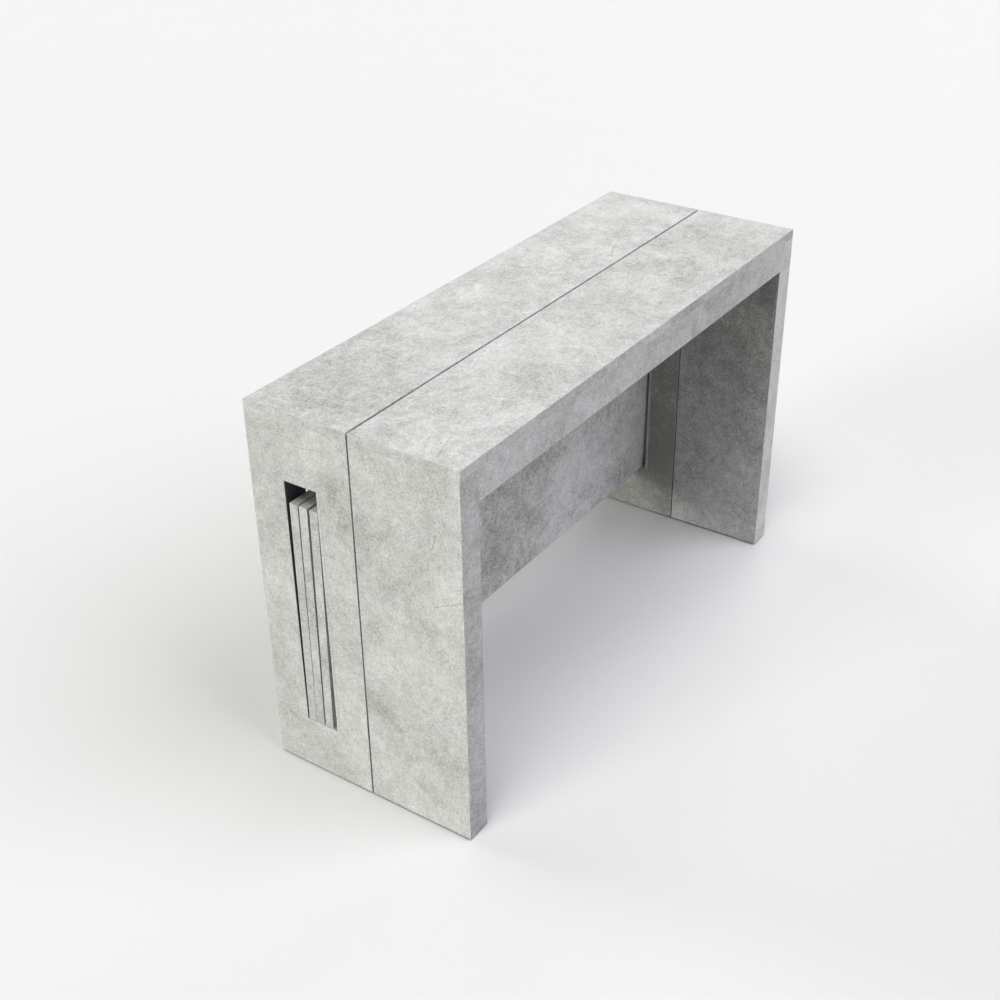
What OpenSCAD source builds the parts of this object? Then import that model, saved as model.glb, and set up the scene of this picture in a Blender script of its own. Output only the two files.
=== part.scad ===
// Extendable console table with its three extension leaves stored in slots through the rear legs.
// Origin: on the floor under the middle of the closed table. +X runs along the table, +Y to the
// rear, +Z up. Millimetres.

/* [Overall size] */
// Width of the table, end face to end face
width = 1200; // [1100:10:1300]
// Depth of the closed table, front to rear
depth = 442; // [440:1:460]
// Height of the table top above the floor
height = 760; // [740:1:780]

/* [Boards] */
// Thickness of the top boards
top_t = 18; // [16:1:22]
// Thickness of a hollow leg
leg_t = 50; // [44:1:56]
// Thickness of each face board of a leg
skin_t = 8; // [6:1:10]
// Height of the apron under each top
apron_h = 60; // [56:1:70]
// Thickness of the apron
apron_t = 18; // [16:1:20]
// Thickness of the edge bands
band_t = 1; // [0.8:0.1:2]
// Width of the battens inside a leg
batten_w = 30; // [26:1:32]
// Gap between the legs of the two halves when closed
leg_gap = 3; // [1:0.5:4]
// Gap between the tops of the two halves when closed
top_gap = 4; // [2:0.5:5]
// Height of the glides under the legs
glide_h = 3; // [2:0.5:5]

/* [Leaf storage] */
// Clear width of the slot through a rear leg
slot_w = 69; // [66:1:76]
// Clear height of the slot
slot_h = 511; // [500:1:520]
// Height of the slot's floor
slot_z = 115; // [100:1:125]
// Distance from the seam between the halves to the slot
slot_y = 75.5; // [72:0.5:78]
// Width of the lipping strip on the slot's front side
lipping_w = 6; // [4:1:10]

/* [Leaves] */
// Length of a leaf
leaf_l = 1199; // [1100:1:1300]
// Width of a leaf
leaf_w = 470; // [460:1:475]
// Thickness of a leaf
leaf_t = 18; // [16:1:18]
// Diameter of the alignment pins
pin_d = 8; // [6:1:10]
// Length of a pin that stands out of its edge
pin_out = 10; // [8:1:14]

/* [Rails] */
// Length of a rail member
rail_l = 400; // [380:5:400]
// Height of a rail member
rail_h = 44; // [40:1:50]
// Distance from the table's middle to the outermost rail member
rail_x = 430; // [400:5:450]
// Travel of one rail member in the next
stage_travel = 286; // [250:1:290]

/* [Hidden] */
$fn = 48;

// Colours
CONCRETE = [0.78, 0.78, 0.76];
BAND = [0.72, 0.72, 0.71];
DARK_BAND = [0.24, 0.24, 0.26];
RAW_BOARD = [0.72, 0.60, 0.44];
BEECH = [0.82, 0.66, 0.46];
ALUMINIUM = [0.80, 0.81, 0.82];
ZINC = [0.72, 0.73, 0.74];
NYLON = [0.12, 0.12, 0.13];
GLIDE = [0.20, 0.20, 0.20];

// Clearances
joint_gap = 0.2;        // between two battens that are butted together
hole_clear = 0.05;      // round a dowel or pin in the hole that it is glued into
pin_clear = 0.2;        // round a pin in the hole that it slides into
overrun = 1;            // how far a cut runs past the face that it opens

// Levels and planes of the rear half. The front half is its mirror image in the seam plane.
end_x = width / 2;
half_d = depth / 2;
top_z = height - top_t;
apron_z = top_z - apron_h;
leg_y = leg_gap / 2;
top_y = top_gap / 2;
foot_z = glide_h + band_t;

// Slot through a rear leg: the clear opening, and the larger hole that its trim lines
slot_lo = [slot_y, slot_z];
slot_hi = [slot_y + slot_w, slot_z + slot_h];
hole_lo = [slot_lo[0] - lipping_w, slot_lo[1] - band_t];
hole_hi = [slot_hi[0] + band_t, slot_hi[1] + band_t];

// Battens inside a leg
bottom_rail_h = 40;
top_rail_h = 60;

// Fasteners
screw_d = 3.8;
screw_l = 14;
pilot_d = 4;
head_d = 7.5;
head_h = 2.2;
cross_w = 1.1;
cross_l = 4.2;
cross_depth = 1.5;
bracket_leg = 30;
bracket_l = 40;
bracket_t = 2;
bracket_hole_d = 4.6;
bracket_hole_reach = 18;
bracket_hole_side = 11;
dowel_d = 8;
dowel_l = 30;
dowel_in_top = 12;
glide_d = 24;
glide_pin_d = 2.8;
glide_pin_l = 12;
glide_pilot_d = 3;

// Rail section: each member holds the next one's tongue in its channel
rail_n = 6;             // members in a set, the fixed ones included
rail_body = 13;         // width of a member without its tongue
rail_pitch = 14;        // from one member to the next
rail_drop = 0.4;        // air between a member's top and the boards that it slides under
lip_t = 3;              // lips of the channel
channel_in = 5.5;       // depth of the channel behind its lips
mouth_h = 14;
channel_h = 34;
neck_h = 12;
head_slack = 0.6;       // between the tongue's head and the channel, along X
tongue_h = 31;
block_slack = 0.2;      // between a plastic block and the channel
block_l = 50;
block_end = 0.5;        // from the block to the end cap behind it, when closed
cap_t = 1.5;
cap_inset = 0.3;
stop_gap = 0.5;         // from a block to the liner that it comes up to, when drawn out
liner_l = rail_l - block_l - block_end - stage_travel - stop_gap;
liner_slack = 0.2;
flange_t = 3;
flange_w = 22;
flange_l = 190;
flange_screw_y = [30, 103, 176];

// Leaves: where each stands in the slot, from the rear one to the front one
leaf_foot_y = [133.8, 115.4, 94.5];
leaf_lean = [0.52, 0.8, 1.07];
leaf_foot_gap = 0.4;
pin_x = [-450, 0, 450];
pin_in = 15;
pin_hole_l = 14;
seam_pin_out = 12;

if (width < 2 * (rail_x + flange_w + leg_t)) echo("the rails reach the legs");

// ---- Small helpers ----

module span(lo, hi) translate(lo) cube(hi - lo);

module rod(d, l) cylinder(d = d, h = l);

module both_sides() {
    children();
    mirror([1, 0, 0]) children();
}

module front_side() mirror([0, 1, 0]) children();

// ---- Where the fasteners go, in the rear half ----

// Corner of each angle bracket, and the way its flange under the top points
function bracket_places() = [
    for (side = [-1, 1], y = [45, 165])
        [[side * (end_x - leg_t), y, top_z], side < 0 ? 0 : 180],
    for (x = [-200, 200])
        [[x, half_d - apron_t, top_z], -90],
];

module at_brackets() {
    for (place = bracket_places())
        translate(place[0]) rotate([0, 0, place[1]]) children();
}

// Screws of the brackets and of the rail flange whose middle is at flange_x
module at_screws(flange_x) {
    at_brackets()
        for (side = [-1, 1]) {
            translate([bracket_hole_reach, side * bracket_hole_side, -bracket_t]) children();
            translate([bracket_t, side * bracket_hole_side, -bracket_hole_reach])
                rotate([0, -90, 0]) children();
        }
    both_sides()
        for (y = flange_screw_y)
            translate([flange_x, y, top_z - flange_t]) children();
}

// Dowels that join the legs to the top, and the apron to the legs
module at_dowels() {
    both_sides() {
        for (y = [20, 110, 190])
            translate([-end_x + leg_t / 2, y, top_z + dowel_in_top - dowel_l]) children();
        for (z = [18, 42])
            translate([-end_x + leg_t - dowel_l / 2, half_d - apron_t / 2, apron_z + z])
                rotate([0, 90, 0]) children();
    }
}

module at_glides() {
    both_sides()
        for (y = [25, half_d - 25])
            translate([-end_x + leg_t / 2, y, 0]) children();
}

module at_pins(z) {
    for (x = pin_x)
        translate([x, 0, z]) rotate([-90, 0, 0]) children();
}

// ---- Fasteners ----

module screw() {
    rod(screw_d, screw_l);
    difference() {
        translate([0, 0, -head_h]) cylinder(d1 = head_d - 2, d2 = head_d, h = head_h);
        for (turn = [0, 90])
            rotate([0, 0, turn])
                translate([-cross_l / 2, -cross_w / 2, -head_h - overrun])
                    cube([cross_l, cross_w, cross_depth + overrun]);
    }
}

module bracket() {
    difference() {
        union() {
            span([0, -bracket_l / 2, -bracket_t], [bracket_leg, bracket_l / 2, 0]);
            span([0, -bracket_l / 2, -bracket_leg], [bracket_t, bracket_l / 2, 0]);
        }
        for (side = [-1, 1]) {
            translate([bracket_hole_reach, side * bracket_hole_side, -bracket_t - overrun])
                rod(bracket_hole_d, bracket_t + 2 * overrun);
            translate([-overrun, side * bracket_hole_side, -bracket_hole_reach])
                rotate([0, 90, 0]) rod(bracket_hole_d, bracket_t + 2 * overrun);
        }
    }
}

module dowel() rod(dowel_d, dowel_l);

module glide() {
    cylinder(d1 = glide_d - 1.5, d2 = glide_d, h = glide_h);
    rod(glide_pin_d, glide_h + glide_pin_l);
}

// Cuts that the fasteners need in the boards
module fastener_cuts(flange_x) {
    at_screws(flange_x) rod(pilot_d, screw_l + 0.5);
    at_dowels() translate([0, 0, -0.5]) rod(dowel_d + 2 * hole_clear, dowel_l + 1);
    at_glides() rod(glide_pilot_d, glide_h + glide_pin_l + 0.5);
}

// ---- One half, drawn as the rear one ----

module top_board(flange_x) {
    difference() {
        span([-end_x + band_t, top_y + band_t, top_z], [end_x - band_t, half_d - band_t, height]);
        fastener_cuts(flange_x);
        children();
    }
}

// Edge bands of the top board and of the apron's lower edge
module half_edging() {
    difference() {
        span([-end_x, top_y, top_z], [end_x, half_d, height]);
        span([-end_x + band_t, top_y + band_t, top_z - overrun],
             [end_x - band_t, half_d - band_t, height + overrun]);
        children();
    }
    span([-end_x + leg_t, half_d - apron_t, apron_z], [end_x - leg_t, half_d, apron_z + band_t]);
}

module apron() {
    difference() {
        span([-end_x + leg_t, half_d - apron_t, apron_z + band_t], [end_x - leg_t, half_d, top_z]);
        fastener_cuts(0);
    }
}

// A slab of the left leg between two planes across X, inside the edge bands
module leg_slab(x0, x1) {
    span([x0, leg_y + band_t, foot_z], [x1, half_d - band_t, top_z]);
}

// The hole that the slot's trim lines, through the left leg
module slot_hole() {
    span([-end_x - overrun, hole_lo[0], hole_lo[1]],
         [-end_x + leg_t + overrun, hole_hi[0], hole_hi[1]]);
}

module leg_outer_skin(slotted) {
    difference() {
        leg_slab(-end_x, -end_x + skin_t);
        if (slotted) slot_hole();
    }
}

module leg_inner_skin(slotted) {
    difference() {
        leg_slab(-end_x + leg_t - skin_t, -end_x + leg_t);
        if (slotted) slot_hole();
        fastener_cuts(0);
    }
}

// A batten inside the left leg, from its lowest to its highest (y, z)
module batten(lo, hi) {
    span([-end_x + skin_t, lo[0], lo[1]], [-end_x + leg_t - skin_t, hi[0], hi[1]]);
}

module leg_core(slotted) {
    y0 = leg_y + band_t;
    y1 = half_d - band_t;
    z0 = foot_z + bottom_rail_h + joint_gap;
    z1 = top_z - top_rail_h - joint_gap;
    difference() {
        union() {
            batten([y0, foot_z], [y1, foot_z + bottom_rail_h]);
            batten([y0, top_z - top_rail_h], [y1, top_z]);
            batten([y0, z0], [y0 + batten_w, z1]);
            batten([y1 - batten_w, z0], [y1, z1]);
            if (slotted) {
                batten([hole_lo[0] - batten_w, z0], [hole_lo[0], z1]);
                batten([hole_hi[0], z0], [hole_hi[0] + batten_w, z1]);
                batten([hole_lo[0] + joint_gap, hole_hi[1]], [hole_hi[0] - joint_gap, z1]);
                batten([hole_lo[0] + joint_gap, z0], [hole_hi[0] - joint_gap, hole_lo[1]]);
            } else {
                for (z = [z0 + (z1 - z0) / 3, z0 + 2 * (z1 - z0) / 3])
                    batten([y0 + batten_w + joint_gap, z - batten_w / 2],
                           [y1 - batten_w - joint_gap, z + batten_w / 2]);
            }
        }
        fastener_cuts(0);
    }
}

module leg_edging() {
    difference() {
        span([-end_x, leg_y, glide_h], [-end_x + leg_t, half_d, top_z]);
        span([-end_x - overrun, leg_y + band_t, foot_z],
             [-end_x + leg_t + overrun, half_d - band_t, top_z + overrun]);
        fastener_cuts(0);
    }
}

// Trim of the slot in the left leg: a dark band on its rear side and top, and a concrete-effect
// lipping on its front side and floor
module slot_band() {
    difference() {
        span([-end_x, slot_lo[0], slot_lo[1]], [-end_x + leg_t, hole_hi[0], hole_hi[1]]);
        span([-end_x - overrun, slot_lo[0] - overrun, slot_lo[1] - overrun],
             [-end_x + leg_t + overrun, slot_hi[0], slot_hi[1]]);
    }
}

module slot_lip() {
    span([-end_x, hole_lo[0], hole_lo[1]], [-end_x + leg_t, slot_lo[0], hole_hi[1]]);
    span([-end_x, slot_lo[0], hole_lo[1]], [-end_x + leg_t, hole_hi[0], slot_lo[1]]);
}

// Holes that take the pins of a neighbouring board, and the holes that pins are glued into
module seam_sockets() {
    translate([0, top_y - overrun, 0])
        at_pins(top_z + top_t / 2) rod(pin_d + 2 * pin_clear, pin_hole_l + overrun);
}

module seam_pin_holes() {
    translate([0, top_y - overrun, 0])
        at_pins(top_z + top_t / 2) rod(pin_d + 2 * hole_clear, pin_in + overrun + 0.2);
}

module seam_pin_set() {
    translate([0, top_y - seam_pin_out, 0])
        at_pins(top_z + top_t / 2) rod(pin_d, seam_pin_out + pin_in);
}

// ---- Rails: the left set, with its outermost member fixed to the rear half ----

function member_x(i) = -rail_x + i * rail_pitch;
function flange_middle(i) = i == 0 ? member_x(0) - flange_w / 2 : member_x(i) + rail_body + flange_w / 2;

// Outline of a T in the X-Z plane. The neck starts at x = 0, and the head ends at x = -(neck + head).
module tee(neck, head, neck_size, head_size) {
    translate([-neck, -neck_size / 2]) square([neck, neck_size]);
    translate([-neck - head, -head_size / 2]) square([head, head_size]);
}

// Section of a member, with its top face at y = 0
module rail_section() {
    difference() {
        translate([0, -rail_h]) square([rail_body, rail_h]);
        translate([rail_body, -rail_h / 2])
            tee(lip_t, channel_in, mouth_h, channel_h);
    }
}

module plain_section() translate([0, -rail_h]) square([rail_body, rail_h]);

module along_y(y0, y1) {
    translate([0, y1, 0]) rotate([90, 0, 0]) linear_extrude(y1 - y0) children();
}

module member(i) {
    last = i == rail_n - 1;
    gap = rail_pitch - rail_body;
    neck = gap + lip_t + head_slack;
    translate([member_x(i), 0, top_z - rail_drop]) {
        along_y(-rail_l / 2, rail_l / 2) if (last) plain_section(); else rail_section();
        if (i > 0)
            along_y(-rail_l / 2, rail_l / 2 - block_l - block_end)
                translate([0, -rail_h / 2])
                    tee(neck, channel_in - 2 * head_slack, neck_h, tongue_h);
    }
    if (i == 0 || last)
        difference() {
            x = flange_middle(i);
            y = i == 0 ? top_y + 8 : -top_y - 8 - flange_l;
            x0 = i == 0 ? x - flange_w / 2 : member_x(i) + rail_body;
            x1 = i == 0 ? member_x(i) : x + flange_w / 2;
            span([x0, y, top_z - flange_t], [x1, y + flange_l, top_z]);
            for (screw_y = flange_screw_y)
                translate([x, (i == 0 ? 1 : -1) * screw_y, top_z - flange_t - overrun])
                    rod(bracket_hole_d, flange_t + 2 * overrun);
        }
}

// Plastic parts of a member: the block on its tongue, its end cap, and the liners of its channel
module guides(i) {
    gap = rail_pitch - rail_body;
    neck = gap + lip_t + block_slack;
    translate([member_x(i), 0, top_z - rail_drop]) {
        if (i > 0)
            along_y(rail_l / 2 - block_end - block_l, rail_l / 2 - block_end)
                translate([0, -rail_h / 2])
                    tee(neck, channel_in - 2 * block_slack, neck_h + 1, channel_h - 2 * block_slack);
        along_y(rail_l / 2, rail_l / 2 + cap_t)
            cap_outline(cap_inset);
        if (i < rail_n - 1)
            for (side = [-1, 1])
                translate([rail_body - lip_t - channel_in, -rail_l / 2, -rail_h / 2 + side * channel_h / 2])
                    liner(side);
    }
}

module cap_outline(inset) {
    translate([inset, -rail_h + inset]) square([rail_body - 2 * inset, rail_h - 2 * inset]);
}

// A strip on the channel's ceiling (side 1) or floor (side -1)
module liner(side) {
    t = (channel_h - tongue_h) / 2 - liner_slack;
    translate([0, 0, side > 0 ? -t : 0]) cube([channel_in, liner_l, t]);
}

// ---- Leaves ----

// Places a leaf that is drawn upright, with its lower edge on z = 0 and its middle on y = 0
module place_leaf(k) {
    translate([0, leaf_foot_y[k - 1], slot_z + leaf_foot_gap])
        rotate([leaf_lean[k - 1], 0, 0]) children();
}

module leaf_board() {
    difference() {
        span([-leaf_l / 2 + band_t, -leaf_t / 2, band_t],
             [leaf_l / 2 - band_t, leaf_t / 2, leaf_w - band_t]);
        leaf_holes();
    }
}

module leaf_holes() {
    for (x = pin_x) {
        translate([x, 0, -overrun]) rod(pin_d + 2 * pin_clear, pin_hole_l + overrun);
        translate([x, 0, leaf_w - pin_in - 0.2]) rod(pin_d + 2 * hole_clear, pin_in + overrun + 0.2);
    }
}

module leaf_band() {
    difference() {
        span([-leaf_l / 2, -leaf_t / 2, 0], [leaf_l / 2, leaf_t / 2, leaf_w]);
        span([-leaf_l / 2 + band_t, -leaf_t / 2 - overrun, band_t],
             [leaf_l / 2 - band_t, leaf_t / 2 + overrun, leaf_w - band_t]);
        leaf_holes();
    }
}

module leaf_pins() {
    for (x = pin_x)
        translate([x, 0, leaf_w - pin_in]) rod(pin_d, pin_in + pin_out);
}

// ---- Nodes ----

rear_flange = flange_middle(0);
front_flange = flange_middle(rail_n - 1);

module rear_top() color(CONCRETE) top_board(rear_flange) seam_sockets();
module front_top() color(CONCRETE) front_side() top_board(front_flange) seam_pin_holes();
module rear_edging() color(BAND) half_edging() seam_sockets();
module front_edging() color(BAND) front_side() half_edging() seam_pin_holes();
module seam_pins() color(BEECH) front_side() seam_pin_set();

module half_brackets() color(ZINC) at_brackets() bracket();
module half_screws(flange_x) color(ZINC) at_screws(flange_x) screw();
module half_dowels() color(BEECH) at_dowels() dowel();
module half_glides() color(GLIDE) at_glides() glide();

module outer_skin(slotted) color(CONCRETE) leg_outer_skin(slotted);
module inner_skin(slotted) color(CONCRETE) leg_inner_skin(slotted);
module core(slotted) color(RAW_BOARD) leg_core(slotted);
module edging() color(BAND) leg_edging();

module rail(i) color(ALUMINIUM) member(i);
module rail_guides(i) color(NYLON) both_sides() guides(i);

rear_top();
rear_edging();
color(CONCRETE) apron();  // rear_apron
outer_skin(true);  // rear_left_leg_outer_skin
inner_skin(true);  // rear_left_leg_inner_skin
core(true);  // rear_left_leg_core
edging();  // rear_left_leg_edging
mirror([1, 0, 0]) outer_skin(true);  // rear_right_leg_outer_skin
mirror([1, 0, 0]) inner_skin(true);  // rear_right_leg_inner_skin
mirror([1, 0, 0]) core(true);  // rear_right_leg_core
mirror([1, 0, 0]) edging();  // rear_right_leg_edging
color(DARK_BAND) both_sides() slot_band();  // slot_edging
color(CONCRETE) both_sides() slot_lip();  // slot_lipping
half_brackets();  // rear_brackets
half_screws(rear_flange);  // rear_screws
half_dowels();  // rear_dowels
half_glides();  // rear_glides
rail(0);  // left_rail_rear_member
mirror([1, 0, 0]) rail(0);  // right_rail_rear_member
rail_guides(0);  // rear_rail_guides

front_top();
front_edging();
color(CONCRETE) front_side() apron();  // front_apron
front_side() outer_skin(false);  // front_left_leg_outer_skin
front_side() inner_skin(false);  // front_left_leg_inner_skin
front_side() core(false);  // front_left_leg_core
front_side() edging();  // front_left_leg_edging
mirror([1, 0, 0]) front_side() outer_skin(false);  // front_right_leg_outer_skin
mirror([1, 0, 0]) front_side() inner_skin(false);  // front_right_leg_inner_skin
mirror([1, 0, 0]) front_side() core(false);  // front_right_leg_core
mirror([1, 0, 0]) front_side() edging();  // front_right_leg_edging
seam_pins();
front_side() half_brackets();  // front_brackets
front_side() half_screws(front_flange);  // front_screws
front_side() half_dowels();  // front_dowels
front_side() half_glides();  // front_glides
rail(rail_n - 1);  // left_rail_front_member
mirror([1, 0, 0]) rail(rail_n - 1);  // right_rail_front_member
rail_guides(rail_n - 1);  // front_rail_guides

for (i = [1 : rail_n - 2]) {
    rail(i);
    mirror([1, 0, 0]) rail(i);
    rail_guides(i);
}
for (k = [1 : 3]) {
    color(CONCRETE) place_leaf(k) leaf_board();
    color(BAND) place_leaf(k) leaf_band();
    color(BEECH) place_leaf(k) leaf_pins();
}
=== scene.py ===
"""Looks of the extendable console table: materials, edge rounding, studio and camera.

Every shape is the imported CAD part's own. This script rounds its edges and gives it its surface.
"""

import math

import bpy
from mathutils import Matrix, Vector


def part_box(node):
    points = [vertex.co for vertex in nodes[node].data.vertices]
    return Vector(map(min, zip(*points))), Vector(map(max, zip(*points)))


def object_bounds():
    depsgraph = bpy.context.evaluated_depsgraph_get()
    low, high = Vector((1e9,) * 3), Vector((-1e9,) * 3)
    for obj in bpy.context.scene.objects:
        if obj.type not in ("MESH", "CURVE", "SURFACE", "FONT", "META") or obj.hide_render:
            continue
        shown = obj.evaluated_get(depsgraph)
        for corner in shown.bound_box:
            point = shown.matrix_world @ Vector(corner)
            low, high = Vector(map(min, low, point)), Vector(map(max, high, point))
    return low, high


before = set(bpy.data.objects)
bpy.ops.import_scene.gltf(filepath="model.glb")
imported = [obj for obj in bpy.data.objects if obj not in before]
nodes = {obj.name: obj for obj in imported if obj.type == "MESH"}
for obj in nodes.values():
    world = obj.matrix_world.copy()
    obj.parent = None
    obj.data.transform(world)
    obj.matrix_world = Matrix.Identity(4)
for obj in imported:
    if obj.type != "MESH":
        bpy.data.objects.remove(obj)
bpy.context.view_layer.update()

MM = 0.001

# Colours, linear
CONCRETE_LIGHT = (0.640, 0.636, 0.630)
CONCRETE_MID = (0.470, 0.4665, 0.461)
CONCRETE_DARK = (0.270, 0.268, 0.262)
OLIVE_TINT = (1.0, 1.0, 0.965)
HAIRLINE = (0.22, 0.22, 0.21)
SCRATCH = (0.64, 0.64, 0.63)
ANTHRACITE = (0.060, 0.060, 0.066)
ANTHRACITE_PALE = (0.085, 0.085, 0.092)
CHIP_DARK = (0.30, 0.19, 0.09)
CHIP_MID = (0.52, 0.36, 0.19)
CHIP_LIGHT = (0.66, 0.50, 0.30)
BEECH_DARK = (0.45, 0.26, 0.12)
BEECH_LIGHT = (0.68, 0.46, 0.26)
ALUMINIUM_DARK = (0.60, 0.61, 0.62)
ALUMINIUM_LIGHT = (0.74, 0.75, 0.76)
ZINC_DARK = (0.48, 0.50, 0.53)
ZINC_LIGHT = (0.68, 0.70, 0.72)
NYLON_DARK = (0.012, 0.012, 0.013)
NYLON_LIGHT = (0.020, 0.020, 0.022)
GLIDE_DARK = (0.030, 0.030, 0.030)
GLIDE_LIGHT = (0.045, 0.045, 0.045)
FLOOR_PALE = (0.621, 0.621, 0.623)


class Graph:
    """A node tree with one short call for each kind of node that the materials use."""

    def __init__(self, tree):
        self.tree = tree

    def add(self, kind, **settings):
        node = self.tree.nodes.new(kind)
        for name, value in settings.items():
            setattr(node, name, value)
        return node

    def feed(self, socket, value):
        """Links a node's output to the socket, or sets the socket to a plain value."""
        if isinstance(value, bpy.types.NodeSocket):
            self.tree.links.new(value, socket)
        else:
            socket.default_value = value

    def math(self, operation, first, second=0.0, clamp=False):
        node = self.add("ShaderNodeMath", operation=operation, use_clamp=clamp)
        self.feed(node.inputs[0], first)
        self.feed(node.inputs[1], second)
        return node.outputs[0]

    def total(self, first, *others):
        for other in others:
            first = self.math("ADD", first, other)
        return first

    def shifted(self, vector, offset=(0, 0, 0), scale=(1, 1, 1)):
        node = self.add("ShaderNodeMapping")
        self.feed(node.inputs["Vector"], vector)
        node.inputs["Location"].default_value = offset
        node.inputs["Scale"].default_value = scale
        return node.outputs[0]

    def noise(self, vector, scale, detail=3.0, roughness=0.5, distortion=0.0):
        node = self.add("ShaderNodeTexNoise")
        self.feed(node.inputs["Vector"], vector)
        node.inputs["Scale"].default_value = scale
        node.inputs["Detail"].default_value = detail
        node.inputs["Roughness"].default_value = roughness
        node.inputs["Distortion"].default_value = distortion
        return node.outputs["Fac"]

    def vector_math(self, operation, *values):
        """A vector operation: its number if it gives one, or else its vector."""
        node = self.add("ShaderNodeVectorMath", operation=operation)
        for socket, value in zip(node.inputs, values):
            self.feed(socket, value)
        gives_number = operation in ("DOT_PRODUCT", "DISTANCE", "LENGTH")
        return node.outputs["Value" if gives_number else "Vector"]

    def noise_vector(self, vector, scale, reach):
        """The vector moved about by up to half of reach metres, in soft waves."""
        node = self.add("ShaderNodeTexNoise")
        self.feed(node.inputs["Vector"], vector)
        node.inputs["Scale"].default_value = scale
        node.inputs["Detail"].default_value = 4.0
        push = self.vector_math("SUBTRACT", node.outputs["Color"], (0.5, 0.5, 0.5))
        return self.vector_math("MULTIPLY_ADD", push, (reach, reach, reach), vector)

    def near_line(self, vector, start, end, width):
        """1 on the straight line from start to end, falling to 0 at half its width to either side."""
        along = end - start
        offset = self.vector_math("SUBTRACT", vector, start)
        share = self.vector_math("DOT_PRODUCT", offset, along / along.length_squared)
        share = self.math("ADD", share, 0.0, clamp=True)
        nearest = self.add("ShaderNodeVectorMath", operation="SCALE")
        nearest.inputs[0].default_value = along
        self.feed(nearest.inputs["Scale"], share)
        distance = self.vector_math("DISTANCE", offset, nearest.outputs["Vector"])
        return self.between(distance, 0.1 * width, 0.5 * width, 1.0, 0.0)

    def cells(self, vector, scale, feature="F1", output="Distance"):
        node = self.add("ShaderNodeTexVoronoi", feature=feature)
        self.feed(node.inputs["Vector"], vector)
        node.inputs["Scale"].default_value = scale
        return node.outputs[output]

    def between(self, value, low, high, to_low=0.0, to_high=1.0):
        """The value's place between low and high, clamped, as a number from to_low to to_high."""
        node = self.add("ShaderNodeMapRange", clamp=True)
        self.feed(node.inputs["Value"], value)
        node.inputs["From Min"].default_value = low
        node.inputs["From Max"].default_value = high
        node.inputs["To Min"].default_value = to_low
        node.inputs["To Max"].default_value = to_high
        return node.outputs["Result"]

    def ramp(self, value, *stops):
        """A colour from (place, colour) stops."""
        node = self.add("ShaderNodeValToRGB")
        self.feed(node.inputs["Fac"], value)
        elements = node.color_ramp.elements
        while len(elements) < len(stops):
            elements.new(0.5)
        for element, (place, colour) in zip(elements, stops):
            element.position = place
            element.color = (*colour, 1.0)
        return node.outputs["Color"]

    def mix(self, factor, first, second, blend="MIX"):
        node = self.add("ShaderNodeMix", data_type="RGBA", blend_type=blend)
        self.feed(node.inputs["Factor"], factor)
        for socket, value in ((node.inputs["A"], first), (node.inputs["B"], second)):
            self.feed(socket, value if isinstance(value, bpy.types.NodeSocket) else (*value, 1.0))
        return node.outputs["Result"]

    def drawn_on(self, colour, mask, strength, paint):
        """The colour with a paint laid on where the mask is: at strength 1 it hides the colour."""
        return self.mix(self.math("MULTIPLY", mask, strength), colour, paint)

    def bump(self, height, distance):
        node = self.add("ShaderNodeBump")
        self.feed(node.inputs["Height"], height)
        node.inputs["Distance"].default_value = distance
        return node.outputs["Normal"]


def new_material(name):
    """A material with a plain shader, its graph, its shader's inputs, and the body's own coordinates."""
    material = bpy.data.materials.new(name)
    material.use_nodes = True
    graph = Graph(material.node_tree)
    shader = material.node_tree.nodes["Principled BSDF"]
    place = graph.add("ShaderNodeTexCoord").outputs["Object"]
    return material, graph, shader.inputs, place


# ---- Concrete-effect decor ----

# How strongly the decor's details are drawn on its colour, and how much the clouds darken it: patches of
# the pattern, and painted shade on some boards
PORE_STRENGTH = 0.5
HAIRLINE_STRENGTH = 0.45
SCRATCH_STRENGTH = 0.5
MARK_STRENGTH = 0.65
JOINT_STRENGTH = 0.7
STAIN_AND_SHADE_WEIGHT = 0.36


def pores_of(g, place):
    """Small pores, in some places only."""
    pores = g.between(g.noise(place, 190.0, detail=2.0, roughness=0.4), 0.68, 0.74)
    where = g.between(g.noise(place, 30.0, detail=2.0), 0.50, 0.62)
    return g.math("MULTIPLY", pores, where)


def hairlines_of(g, place):
    """Bent hairlines between large cells, in some places only."""
    lines = g.cells(g.noise_vector(place, 14.0, 0.06), 6.0, feature="DISTANCE_TO_EDGE")
    lines = g.between(lines, 0.0, 0.0045, 1.0, 0.0)
    where = g.between(g.noise(place, 9.0, detail=2.0), 0.60, 0.66)
    return g.math("MULTIPLY", lines, where)


def scratches_of(g, place):
    """Straighter and longer scratches, in some places only."""
    straight = g.shifted(place, offset=(3.1, 1.7, 5.3), scale=(0.5, 1.0, 0.8))
    lines = g.cells(g.noise_vector(straight, 5.0, 0.03), 8.0, feature="DISTANCE_TO_EDGE")
    lines = g.between(lines, 0.0, 0.0050, 1.0, 0.0)
    where = g.between(g.noise(straight, 12.0, detail=1.0), 0.62, 0.68)
    return g.math("MULTIPLY", lines, where)


def pattern_layers(g, place):
    """The pattern's own layers, from broad to fine."""
    clouds = g.noise(place, 4.5, detail=3.0, roughness=0.5)
    patches = g.noise(place, 16.0, detail=5.0, roughness=0.62, distortion=0.6)
    mottle = g.noise(place, 60.0, detail=4.0, roughness=0.6)
    fibres = g.noise(g.noise_vector(place, 90.0, 0.010), 240.0, detail=3.0, roughness=0.65)
    grit = g.noise(place, 480.0, detail=2.0, roughness=0.7)
    return clouds, patches, mottle, fibres, grit


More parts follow.
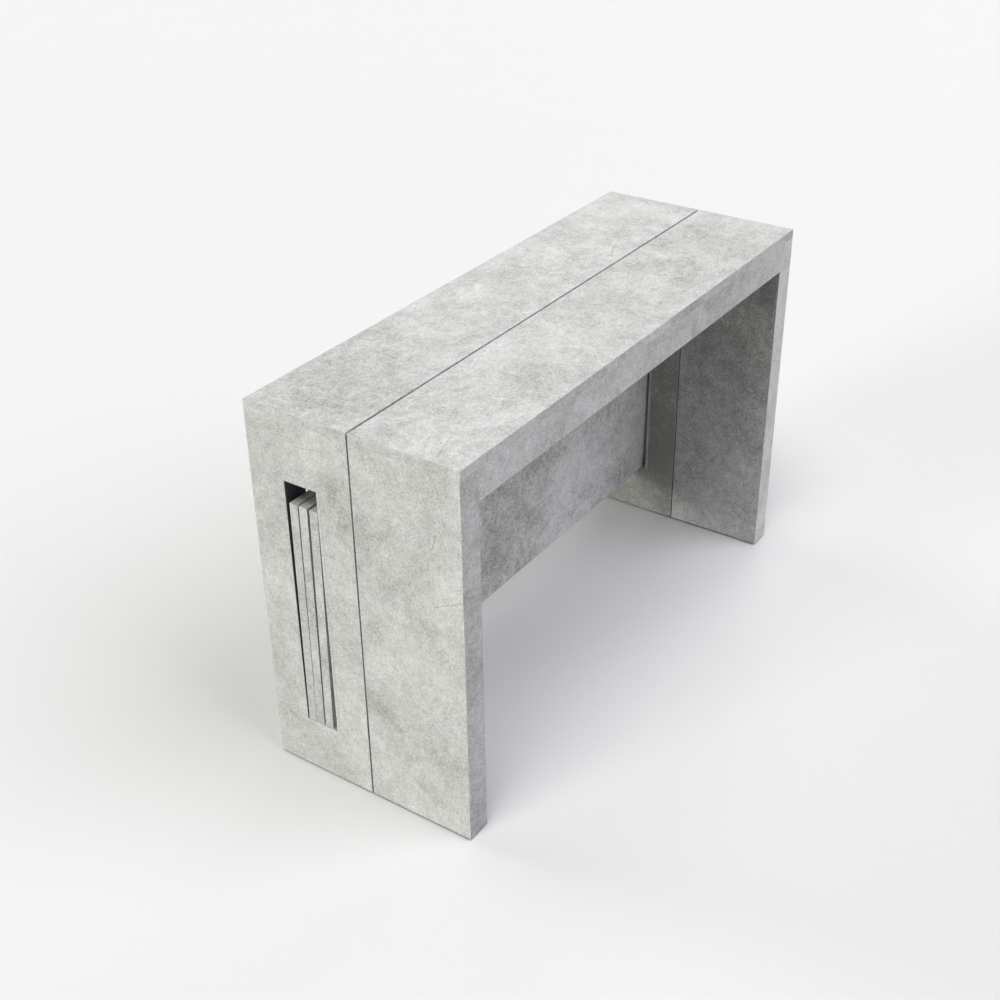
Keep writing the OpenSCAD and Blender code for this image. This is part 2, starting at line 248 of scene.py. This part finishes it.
def shade_of(g, layers, stain_and_shade, contrast, tone):
    """How light the pattern is, from 0 to 1, clouds and tone included: painted shade and light on some
    boards.
    """
    clouds, patches, mottle, fibres, grit = layers
    shade = g.total(
        g.between(clouds, 0.30, 0.70, -0.20, 0.20),
        g.between(patches, 0.28, 0.72, -0.30, 0.30),
        g.between(mottle, 0.25, 0.75, -0.30, 0.30),
        g.between(fibres, 0.20, 0.80, -0.62, 0.62),
        g.between(grit, 0.20, 0.80, -0.32, 0.32),
    )
    shade = g.math("SUBTRACT", shade, g.math("MULTIPLY", stain_and_shade, STAIN_AND_SHADE_WEIGHT))
    shade = g.math("MULTIPLY", shade, contrast)
    return g.math("ADD", g.math("ADD", shade, tone), 0.5, clamp=True)


def relief_of(g, fibres, grit, pores, hairlines):
    """The pattern's height: fibres and grit stand up, pores and hairlines are cut in."""
    height = g.total(g.math("MULTIPLY", fibres, 0.6), g.math("MULTIPLY", grit, 0.4))
    height = g.math("SUBTRACT", height, g.math("MULTIPLY", pores, 0.5))
    return g.math("SUBTRACT", height, hairlines)


DECOR_INPUTS = {"Vector": "Vector", "Stain and shade": "Float", "Contrast": "Float", "Tone and shade": "Float"}
DECOR_OUTPUTS = {"Color": "Color", "Roughness": "Float", "Height": "Float"}


def make_decor_group():
    """The printed concrete pattern: clouds, patches, mottling, fibres, grit, and the details above.

    Its clouds input darkens it towards olive (or lightens it, below 0): patches of the pattern on some
    boards, painted shade and painted light on others. Contrast scales its variation, and its tone input
    lightens (or darkens, below 0) the whole of it: on some boards painted light and painted shade.
    """
    tree = bpy.data.node_groups.new("concrete_decor", "ShaderNodeTree")
    for name, kind in DECOR_INPUTS.items():
        tree.interface.new_socket(name, in_out="INPUT", socket_type=f"NodeSocket{kind}")
    for name, kind in DECOR_OUTPUTS.items():
        tree.interface.new_socket(name, in_out="OUTPUT", socket_type=f"NodeSocket{kind}")
    g = Graph(tree)
    given = g.add("NodeGroupInput").outputs
    place = given["Vector"]
    stain_and_shade = given["Stain and shade"]
    out = g.add("NodeGroupOutput").inputs

    layers = pattern_layers(g, place)
    _, patches, _, fibres, grit = layers
    shade = shade_of(g, layers, stain_and_shade, given["Contrast"], given["Tone and shade"])
    colour = g.ramp(shade, (0.0, CONCRETE_DARK), (0.5, CONCRETE_MID), (1.0, CONCRETE_LIGHT))
    olive = g.math("ADD", stain_and_shade, g.between(patches, 0.30, 0.46, 0.8, 0.0), clamp=True)
    colour = g.mix(olive, colour, OLIVE_TINT, blend="MULTIPLY")

    pores = pores_of(g, place)
    hairlines = hairlines_of(g, place)
    colour = g.drawn_on(colour, pores, PORE_STRENGTH, HAIRLINE)
    colour = g.drawn_on(colour, hairlines, HAIRLINE_STRENGTH, HAIRLINE)
    colour = g.drawn_on(colour, scratches_of(g, place), SCRATCH_STRENGTH, SCRATCH)

    g.feed(out["Color"], colour)
    g.feed(out["Roughness"], g.between(shade, 0.0, 1.0, 0.66, 0.54))
    g.feed(out["Height"], relief_of(g, fibres, grit, pores, hairlines))
    return tree


decor_group = make_decor_group()

# Clouds, placed one by one: on the tops and the left legs' outer skins they are clouds of the pattern
# as the object shows them; on leaf_3 and the right legs' inner skins they are painted shade and painted
# light, and on front_apron they make it lighter at its left end and darker from the middle on. Place as
# shares of the board's box along X, Y and Z, reach in metres, and depth (below 0 for a light cloud)
CLOUDS_AND_PAINTED_SHADE = {
    "rear_top": (
        ((0.03, 0.75, 1.0), 0.13, 0.45),
        ((0.06, 0.25, 1.0), 0.12, 0.40),
        ((0.13, 0.20, 1.0), 0.08, 0.40),
        ((0.17, 0.70, 1.0), 0.10, 0.35),
        ((0.28, 0.90, 1.0), 0.07, 0.85),
        ((0.30, 0.27, 1.0), 0.05, 0.50),
        ((0.58, 0.65, 1.0), 0.06, 0.45),
        ((0.53, 0.25, 1.0), 0.05, 0.35),
        ((0.75, 0.50, 1.0), 0.18, -0.50),
        ((0.92, 0.50, 1.0), 0.15, -0.50),
    ),
    "front_top": (
        ((0.03, 0.45, 1.0), 0.10, -0.30),
        ((0.12, 0.70, 1.0), 0.05, 0.50),
        ((0.19, 0.42, 1.0), 0.06, 0.55),
        ((0.26, 0.40, 1.0), 0.05, 0.50),
        ((0.23, 0.12, 1.0), 0.05, 0.50),
        ((0.41, 0.86, 1.0), 0.035, 0.50),
        ((0.47, 0.38, 1.0), 0.05, 0.40),
        ((0.71, 0.32, 1.0), 0.05, 0.45),
        ((0.73, 0.70, 1.0), 0.06, 0.80),
        ((0.82, 0.82, 1.0), 0.05, 0.60),
        ((0.90, 0.60, 1.0), 0.05, 0.60),
        ((0.87, 0.20, 1.0), 0.08, 0.45),
    ),
    "rear_left_leg_outer_skin": (
        ((0.0, 0.69, 0.97), 0.040, 0.50),
        ((0.0, 0.95, 0.69), 0.030, 0.50),
        ((0.0, 0.11, 0.84), 0.060, 0.60),
        ((0.0, 0.08, 0.77), 0.045, 0.60),
        ((0.0, 0.22, 0.62), 0.035, 0.40),
        ((0.0, 0.24, 0.51), 0.045, 0.40),
        ((0.0, 0.08, 0.42), 0.040, 0.35),
        ((0.0, 0.31, 0.03), 0.040, 0.50),
        ((0.0, 0.85, 0.21), 0.025, 0.40),
        ((0.0, 0.31, 0.88), 0.014, 0.80),
    ),
    "front_left_leg_outer_skin": (
        ((0.0, 0.77, 0.98), 0.040, 0.45),
        ((0.0, 0.45, 0.97), 0.025, 0.40),
        ((0.0, 0.86, 0.90), 0.035, 0.50),
        ((0.0, 0.91, 0.77), 0.060, 0.50),
        ((0.0, 0.72, 0.69), 0.025, 0.60),
        ((0.0, 0.44, 0.58), 0.045, 0.50),
        ((0.0, 0.81, 0.29), 0.030, 0.50),
        ((0.0, 0.69, 0.25), 0.020, 0.90),
        ((0.0, 0.40, 0.08), 0.060, 0.35),
        ((0.0, 0.12, 0.71), 0.055, -0.60),
        ((0.0, 0.35, 0.66), 0.035, -0.50),
        ((0.0, 0.08, 0.40), 0.060, -0.40),
    ),
    # Painted shade and light on the front leaf: darker towards its left, lighter towards its right
    "leaf_3": (
        ((0.46, 0.0, 0.18), 0.20, 0.85),
        ((0.42, 0.0, 0.15), 0.08, 0.20),
        ((0.72, 0.0, 0.26), 0.16, -0.50),
        ((0.90, 0.0, 0.40), 0.22, -0.50),
    ),
    # Painted shade and light on the front right leg's inner skin: darker at the top, lighter low down
    "front_right_leg_inner_skin": (
        ((1.0, 0.50, 1.00), 0.42, 0.80),
        ((1.0, 0.60, 0.00), 0.28, -0.85),
    ),
    # Painted shade on the rear right leg's inner skin, low down and at mid height
    "rear_right_leg_inner_skin": (
        ((1.0, 0.15, 0.35), 0.32, 1.10),
        ((1.0, 0.30, 0.00), 0.20, 0.35),
    ),
    # The front apron lighter at its left end, darker from the middle on
    "front_apron": (
        ((0.03, 0.0, 0.5), 0.14, -0.55),
        ((0.36, 0.0, 0.5), 0.06, 0.40),
        ((0.48, 0.0, 0.5), 0.14, 0.40),
        ((0.72, 0.0, 0.6), 0.07, 0.35),
        ((0.92, 0.0, 0.5), 0.10, 0.25),
    ),
}

# Single marks, placed one by one: from, to (as above), width in metres, and whether the mark is light
MARKS = {
    "rear_top": (
        ((0.725, 0.11, 1.0), (0.767, 0.20, 1.0), 0.0030, False),
        ((0.745, 0.18, 1.0), (0.792, 0.27, 1.0), 0.0030, True),
    ),
    "front_top": (
        ((0.000, 0.35, 1.0), (0.067, 0.50, 1.0), 0.0026, False),
        ((0.010, 0.24, 1.0), (0.060, 0.33, 1.0), 0.0024, False),
    ),
    "rear_left_leg_outer_skin": (
        ((0.0, 0.52, 0.944), (0.0, 0.24, 0.955), 0.0020, False),
    ),
    "front_left_leg_outer_skin": (
        ((0.0, 0.265, 0.654), (0.0, 0.0, 0.695), 0.0024, False),
        ((0.0, 0.220, 0.847), (0.0, 0.274, 0.803), 0.0036, False),
        ((0.0, 0.998, 0.509), (0.0, 0.885, 0.494), 0.0022, False),
        ((0.0, 0.352, 0.715), (0.0, 0.212, 0.715), 0.0018, False),
    ),
}

# How strongly the pattern varies, and how much a board is lighter (or darker, below 0) than the rest:
# for the leaves, their edge bands, the right legs' inner skins and the front faces this is painted shade
# and painted light
PLAIN_CONTRAST = 0.55
DECOR_CONTRAST = {
    "leaf_3": 0.95,
    "front_right_leg_inner_skin": 0.75,
    "rear_right_leg_inner_skin": 0.75,
}
TONE_AND_PAINTED_SHADE = {
    # Painted shade: the back leaves darker, so that the gaps between the leaves look dark
    "leaf_1": -0.12,
    "leaf_2": -0.12,
    # Painted light: the front leaf lighter
    "leaf_3": 0.16,
    "rear_left_leg_outer_skin": 0.03,
    # Painted shade: the leaves' edge bands darker, as they look in the slot's shade
    "leaf_1_edging": -0.10,
    "leaf_2_edging": -0.10,
    "leaf_3_edging": -0.10,
    # Painted shade: the right legs' inner skins darker, the rear one more so
    "front_right_leg_inner_skin": -0.16,
    "rear_right_leg_inner_skin": -0.28,
    # Painted shade on the front faces: apron, front edging and front left leg edging darker
    "front_apron": -0.05,
    "front_edging": -0.07,
    "front_left_leg_edging": -0.13,
    # Painted light: the front right leg's edging lighter
    "front_right_leg_edging": 0.16,
}

# Depth of the printed pattern's relief on boards and on edge bands
DECOR_DEPTH = 0.06 * MM
BAND_DEPTH = 0.03 * MM
# How far clouds and marks are bent, in metres, and how wide the slot's joint is drawn
CLOUD_BEND = 0.07
MARK_BEND = 0.006
JOINT_WIDTH = 1.8 * MM


def in_box(name, shares):
    low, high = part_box(name)
    return Vector(a + (b - a) * share for a, b, share in zip(low, high, shares))


def shade_and_stain_of(g, place, name):
    """The board's clouds, some of them painted shade and light: their depths, fading with ragged edges.
    """
    bent = g.noise_vector(place, 22.0, CLOUD_BEND)
    stain_and_shade = 0.0
    for shares, reach, depth in CLOUDS_AND_PAINTED_SHADE[name]:
        distance = g.vector_math("DISTANCE", bent, in_box(name, shares))
        stain_and_shade = g.math("ADD", g.between(distance, 0.2 * reach, reach, depth, 0.0), stain_and_shade)
    return stain_and_shade


def marked(g, place, name, colour):
    """The colour with the board's own marks drawn on it."""
    bent = g.noise_vector(place, 40.0, MARK_BEND)
    for start, end, width, light in MARKS[name]:
        line = g.near_line(bent, in_box(name, start), in_box(name, end), width)
        colour = g.drawn_on(colour, line, MARK_STRENGTH, SCRATCH if light else HAIRLINE)
    return colour


def lipped(g, place, colour):
    """The colour with the fine dark joint between a rear leg's face and the slot's lipping."""
    low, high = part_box("slot_lipping")
    flat = g.shifted(place, scale=(0.0, 1.0, 1.0))
    bottom = Vector((0.0, low.y, low.z))
    top = Vector((0.0, low.y, high.z))
    joint = g.near_line(flat, bottom, top, JOINT_WIDTH)
    return g.drawn_on(colour, joint, JOINT_STRENGTH, HAIRLINE)


def decor_material(name, offset, node_name, depth):
    """One board's decor. The offset moves the pattern, so that it breaks from board to board."""
    material, g, inputs, place = new_material(name)
    decor = g.add("ShaderNodeGroup", node_tree=decor_group)
    g.feed(decor.inputs["Vector"], g.shifted(place, offset=offset))
    decor.inputs["Contrast"].default_value = DECOR_CONTRAST.get(node_name, PLAIN_CONTRAST)
    # The tone lightens (or darkens) the whole board: painted light and shade on some boards
    decor.inputs["Tone and shade"].default_value = TONE_AND_PAINTED_SHADE.get(node_name, 0.0)
    # The board's clouds: patches of the pattern, and painted shade and light on some boards
    if node_name in CLOUDS_AND_PAINTED_SHADE:
        g.feed(decor.inputs["Stain and shade"], shade_and_stain_of(g, place, node_name))
    colour = decor.outputs["Color"]
    if node_name in MARKS:
        colour = marked(g, place, node_name, colour)
    if node_name.startswith("rear") and node_name.endswith("skin"):
        colour = lipped(g, place, colour)
    g.feed(inputs["Base Color"], colour)
    g.feed(inputs["Roughness"], decor.outputs["Roughness"])
    g.feed(inputs["Normal"], g.bump(decor.outputs["Height"], depth))
    return material


# ---- The other materials ----


def dark_band_material():
    """Dark edge band round the slot, as dark as the slot's cut faces look: a fine grain and slight
    scuffs.
    """
    material, g, inputs, place = new_material("dark_edge_band")
    grain = g.noise(place, 900.0, detail=3.0)
    scuffs = g.noise(place, 40.0, detail=4.0, roughness=0.6)
    shade = g.math("MULTIPLY", g.math("ADD", grain, scuffs), 0.5)
    g.feed(inputs["Base Color"], g.ramp(shade, (0.35, ANTHRACITE), (0.65, ANTHRACITE_PALE)))
    g.feed(inputs["Roughness"], g.between(scuffs, 0.3, 0.7, 0.46, 0.58))
    g.feed(inputs["Normal"], g.bump(grain, 0.03 * MM))
    return material


def chip_material():
    """Bare particle board: pressed chips of several tones."""
    material, g, inputs, place = new_material("raw_board")
    bent = g.noise_vector(place, 200.0, 0.004)
    chips = g.cells(bent, 420.0, output="Color")
    tone = g.add("ShaderNodeSeparateColor")
    g.feed(tone.inputs[0], chips)
    dust = g.noise(place, 1500.0, detail=3.0)
    shade = g.math("ADD", g.math("MULTIPLY", tone.outputs[0], 0.75), g.math("MULTIPLY", dust, 0.25))
    g.feed(
        inputs["Base Color"],
        g.ramp(shade, (0.1, CHIP_DARK), (0.45, CHIP_MID), (0.9, CHIP_LIGHT)),
    )
    g.feed(inputs["Roughness"], g.between(dust, 0.3, 0.7, 0.78, 0.92))
    g.feed(inputs["Normal"], g.bump(shade, 0.15 * MM))
    return material


def beech_material(name, along):
    """Turned beech with its flecks along one axis: along is the pattern's scale on each axis."""
    material, g, inputs, place = new_material(name)
    stretched = g.shifted(place, scale=along)
    grain = g.noise(stretched, 900.0, detail=4.0, roughness=0.6)
    rings = g.noise(stretched, 220.0, detail=2.0)
    shade = g.math("ADD", g.math("MULTIPLY", grain, 0.6), g.math("MULTIPLY", rings, 0.4))
    g.feed(inputs["Base Color"], g.ramp(shade, (0.36, BEECH_DARK), (0.58, BEECH_LIGHT)))
    g.feed(inputs["Roughness"], g.between(grain, 0.3, 0.7, 0.55, 0.70))
    g.feed(inputs["Normal"], g.bump(grain, 0.05 * MM))
    return material


def aluminium_material():
    """Anodised extrusion: fine die lines along Y."""
    material, g, inputs, place = new_material("aluminium")
    inputs["Metallic"].default_value = 1.0
    lines = g.noise(g.shifted(place, scale=(1.0, 0.004, 1.0)), 1600.0, detail=3.0)
    bloom = g.noise(place, 25.0, detail=4.0, roughness=0.6)
    shade = g.math("ADD", g.math("MULTIPLY", lines, 0.6), g.math("MULTIPLY", bloom, 0.4))
    g.feed(inputs["Base Color"], g.ramp(shade, (0.35, ALUMINIUM_DARK), (0.65, ALUMINIUM_LIGHT)))
    g.feed(inputs["Roughness"], g.between(shade, 0.35, 0.65, 0.42, 0.30))
    g.feed(inputs["Normal"], g.bump(lines, 0.02 * MM))
    return material


def zinc_material():
    """Zinc plate: small crystals and a cloudy film."""
    material, g, inputs, place = new_material("zinc_steel")
    inputs["Metallic"].default_value = 1.0
    crystals = g.noise(place, 600.0, detail=2.0, roughness=0.4)
    film = g.noise(place, 70.0, detail=4.0, roughness=0.6)
    shade = g.math("ADD", g.math("MULTIPLY", crystals, 0.5), g.math("MULTIPLY", film, 0.5))
    g.feed(inputs["Base Color"], g.ramp(shade, (0.35, ZINC_DARK), (0.65, ZINC_LIGHT)))
    g.feed(inputs["Roughness"], g.between(film, 0.3, 0.7, 0.28, 0.44))
    g.feed(inputs["Normal"], g.bump(crystals, 0.02 * MM))
    return material


def moulded_material(name, dark, light, smooth, rough):
    """Moulded plastic: spark-eroded grain and a little flow marking."""
    material, g, inputs, place = new_material(name)
    grain = g.noise(place, 1400.0, detail=2.0)
    flow = g.noise(place, 60.0, detail=3.0, distortion=0.8)
    g.feed(inputs["Base Color"], g.ramp(flow, (0.3, dark), (0.7, light)))
    g.feed(inputs["Roughness"], g.between(grain, 0.3, 0.7, smooth, rough))
    g.feed(inputs["Normal"], g.bump(grain, 0.03 * MM))
    return material


# Where each board's pattern starts, in metres: any two boards are far apart in it
DECOR_OFFSETS = {
    "rear_top": (0.0, 0.0, 0.0),
    "front_top": (11.3, 2.1, 4.7),
    "rear_apron": (5.2, 7.9, 1.4),
    "front_apron": (8.6, 3.3, 9.2),
    "rear_left_leg_outer_skin": (2.7, 12.4, 6.1),
    "rear_left_leg_inner_skin": (13.1, 5.8, 2.2),
    "rear_right_leg_outer_skin": (6.4, 1.9, 14.3),
    "rear_right_leg_inner_skin": (9.8, 10.6, 7.5),
    "front_left_leg_outer_skin": (3.9, 8.8, 11.7),
    "front_left_leg_inner_skin": (15.2, 4.4, 8.1),
    "front_right_leg_outer_skin": (7.1, 14.9, 3.6),
    "front_right_leg_inner_skin": (12.5, 6.7, 10.9),
    "leaf_1": (4.8, 16.2, 5.5),
    "leaf_2": (10.4, 9.1, 13.8),
    "leaf_3": (14.6, 13.5, 12.2),
}
EDGING_OFFSETS = {
    "rear_edging": (20.3, 1.2, 4.4),
    "front_edging": (22.9, 5.7, 1.8),
    "rear_left_leg_edging": (21.4, 8.3, 6.6),
    "rear_right_leg_edging": (24.8, 3.9, 9.7),
    "front_left_leg_edging": (26.1, 7.4, 2.5),
    "front_right_leg_edging": (28.7, 2.8, 5.1),
    "slot_lipping": (23.6, 6.2, 8.8),
    "leaf_1_edging": (25.5, 9.9, 3.2),
    "leaf_2_edging": (27.3, 4.1, 7.9),
    "leaf_3_edging": (29.2, 8.7, 1.1),
}


def wear_material(node, material):
    """The node's only material, in place of any that came with it."""
    node.data.materials.clear()
    node.data.materials.append(material)


def dress_nodes():
    """Every CAD node gets its material."""
    for name, offset in DECOR_OFFSETS.items():
        wear_material(nodes[name], decor_material(f"concrete_{name}", offset, name, DECOR_DEPTH))
    for name, offset in EDGING_OFFSETS.items():
        wear_material(nodes[name], decor_material(f"band_{name}", offset, name, BAND_DEPTH))
    beech_along_y = beech_material("beech_along_y", (1.0, 0.06, 1.0))
    beech_along_z = beech_material("beech_along_z", (1.0, 1.0, 0.06))
    endings = {
        "slot_edging": dark_band_material(),
        "_core": chip_material(),
        "seam_pins": beech_along_y,
        "_pins": beech_along_z,
        "_dowels": beech_along_z,
        "_glides": moulded_material("glide_plastic", GLIDE_DARK, GLIDE_LIGHT, 0.45, 0.60),
        "_guides": moulded_material("nylon", NYLON_DARK, NYLON_LIGHT, 0.34, 0.48),
        "_brackets": zinc_material(),
    }
    endings["_screws"] = endings["_brackets"]
    rails = aluminium_material()
    for name, node in nodes.items():
        if name in DECOR_OFFSETS or name in EDGING_OFFSETS:
            continue
        found = [material for ending, material in endings.items() if name.endswith(ending)]
        wear_material(node, found[0] if found else rails)


# ---- Edge rounding ----

ROUNDING = {
    "_guides": 0.2 * MM,
    "_glides": 0.4 * MM,
    "_brackets": 0.3 * MM,
    "_screws": 0.1 * MM,
    "_pins": 0.8 * MM,
    "_dowels": 0.8 * MM,
    "_edging": 0.15 * MM,
    "_lipping": 0.08 * MM,
    "_core": 0.1 * MM,
}
BOARD_ROUNDING = 0.08 * MM
RAIL_ROUNDING = 0.3 * MM
ROUNDING_STEPS = 2
SHARP_ANGLE = 40
WELD_REACH = 0.001 * MM


def rounding_of(name):
    if name in DECOR_OFFSETS:
        return BOARD_ROUNDING
    for ending, width in ROUNDING.items():
        if name.endswith(ending):
            return width
    return RAIL_ROUNDING


def round_edges():
    """Small bevels on every sharp edge of the CAD nodes."""
    for name, node in nodes.items():
        weld = node.modifiers.new("weld", "WELD")
        weld.merge_threshold = WELD_REACH
        bevel = node.modifiers.new("rounding", "BEVEL")
        bevel.width = rounding_of(name)
        bevel.segments = ROUNDING_STEPS
        bevel.limit_method = "ANGLE"
        bevel.angle_limit = math.radians(SHARP_ANGLE)
        bevel.use_clamp_overlap = True
        bevel.harden_normals = False


# ---- Studio ----

FLOOR_REACH = 15.0
FLOOR_SHEEN = 0.4

# Broad soft lights: name, angle from straight up, direction from +X towards +Y, width (all three in
# degrees), strength and colour
SUNS = (
    ("overhead_light", 24.9, 190.3, 25.0, 1.87, (1.0, 0.99, 0.945)),
    ("left_light", 80.0, 163.0, 18.0, 1.98, (1.0, 1.02, 0.955)),
    ("front_light", 41.0, 286.0, 50.0, 2.15, (1.0, 1.0, 1.09)),
    ("rear_light", 77.6, 93.0, 26.0, 1.80, (1.0, 1.0, 0.97)),
    ("right_light", 20.0, 21.5, 45.0, 0.40, (1.0, 0.99, 0.945)),
    ("low_right_light", 80.0, 8.0, 40.0, 0.90, (1.0, 1.0, 0.98)),
)
ROOM_LIGHT = (1.0, 1.0, 1.0)
ROOM_STRENGTH = 0.01
BACKDROP_STRENGTH = 0.93
VIEW_GAMMA = 0.85


def make_floor():
    """A plain pale floor with a soft sheen that varies faintly."""
    mesh = bpy.data.meshes.new("floor")
    corners = [(-FLOOR_REACH, -FLOOR_REACH), (FLOOR_REACH, -FLOOR_REACH)]
    corners += [(FLOOR_REACH, FLOOR_REACH), (-FLOOR_REACH, FLOOR_REACH)]
    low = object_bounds()[0].z
    mesh.from_pydata([(x, y, low) for x, y in corners], [], [(0, 1, 2, 3)])
    floor = bpy.data.objects.new("floor", mesh)
    bpy.context.scene.collection.objects.link(floor)
    material, g, inputs, place = new_material("floor")
    inputs["Base Color"].default_value = (*FLOOR_PALE, 1.0)
    g.feed(inputs["Roughness"], g.between(g.noise(place, 3.0, detail=4.0), 0.3, 0.7, 0.38, 0.42))
    inputs["Specular IOR Level"].default_value = FLOOR_SHEEN
    mesh.materials.append(material)


def make_sun(name, zenith, azimuth, width, strength, colour):
    """One broad light, which leaves no glare: glossy surfaces mirror the backdrop instead."""
    light = bpy.data.lights.new(name, "SUN")
    light.energy = strength
    light.angle = math.radians(width)
    light.color = colour
    sun = bpy.data.objects.new(name, light)
    turn = Matrix.Rotation(math.radians(azimuth), 4, "Z") @ Matrix.Rotation(math.radians(zenith), 4, "Y")
    sun.matrix_world = turn
    sun.visible_glossy = False
    bpy.context.scene.collection.objects.link(sun)


def make_room_light():
    """Next to no light from the room, but a pale backdrop that shows past the floor and in its sheen."""
    world = bpy.data.worlds.new("room")
    world.use_nodes = True
    g = Graph(world.node_tree)
    light = world.node_tree.nodes["Background"]
    backdrop = g.add("ShaderNodeBackground")
    for background, strength in ((light, ROOM_STRENGTH), (backdrop, BACKDROP_STRENGTH)):
        background.inputs["Color"].default_value = (*ROOM_LIGHT, 1.0)
        background.inputs["Strength"].default_value = strength
    path = g.add("ShaderNodeLightPath").outputs
    seen = g.add("ShaderNodeMixShader")
    g.feed(seen.inputs[0], g.math("MAXIMUM", path["Is Camera Ray"], path["Is Glossy Ray"]))
    g.feed(seen.inputs[1], light.outputs[0])
    g.feed(seen.inputs[2], backdrop.outputs[0])
    g.feed(world.node_tree.nodes["World Output"].inputs["Surface"], seen.outputs[0])
    bpy.context.scene.world = world


# ---- Camera ----

CAMERA_PLACE = (-2.1181, -1.3416, 1.8559)
CAMERA_HEADING = -55.40
CAMERA_DOWN = 31.30
CAMERA_ROLL = -0.823
CAMERA_LENS = 52.13
CAMERA_SENSOR = 36.0
CAMERA_NEAR = 0.05
CAMERA_FAR = 100.0


def make_camera():
    data = bpy.data.cameras.new("camera")
    data.lens = CAMERA_LENS
    data.sensor_width = CAMERA_SENSOR
    data.clip_start = CAMERA_NEAR
    data.clip_end = CAMERA_FAR
    camera = bpy.data.objects.new("camera", data)
    heading = Matrix.Rotation(math.radians(CAMERA_HEADING), 4, "Z")
    tilt = Matrix.Rotation(math.radians(90.0 - CAMERA_DOWN), 4, "X")
    roll = Matrix.Rotation(math.radians(CAMERA_ROLL), 4, "Z")
    camera.matrix_world = Matrix.Translation(CAMERA_PLACE) @ heading @ tilt @ roll
    bpy.context.scene.collection.objects.link(camera)
    bpy.context.scene.camera = camera


dress_nodes()
round_edges()
make_floor()
for sun_values in SUNS:
    make_sun(*sun_values)
make_room_light()
make_camera()
bpy.context.scene.view_settings.view_transform = "Standard"
bpy.context.scene.view_settings.gamma = VIEW_GAMMA
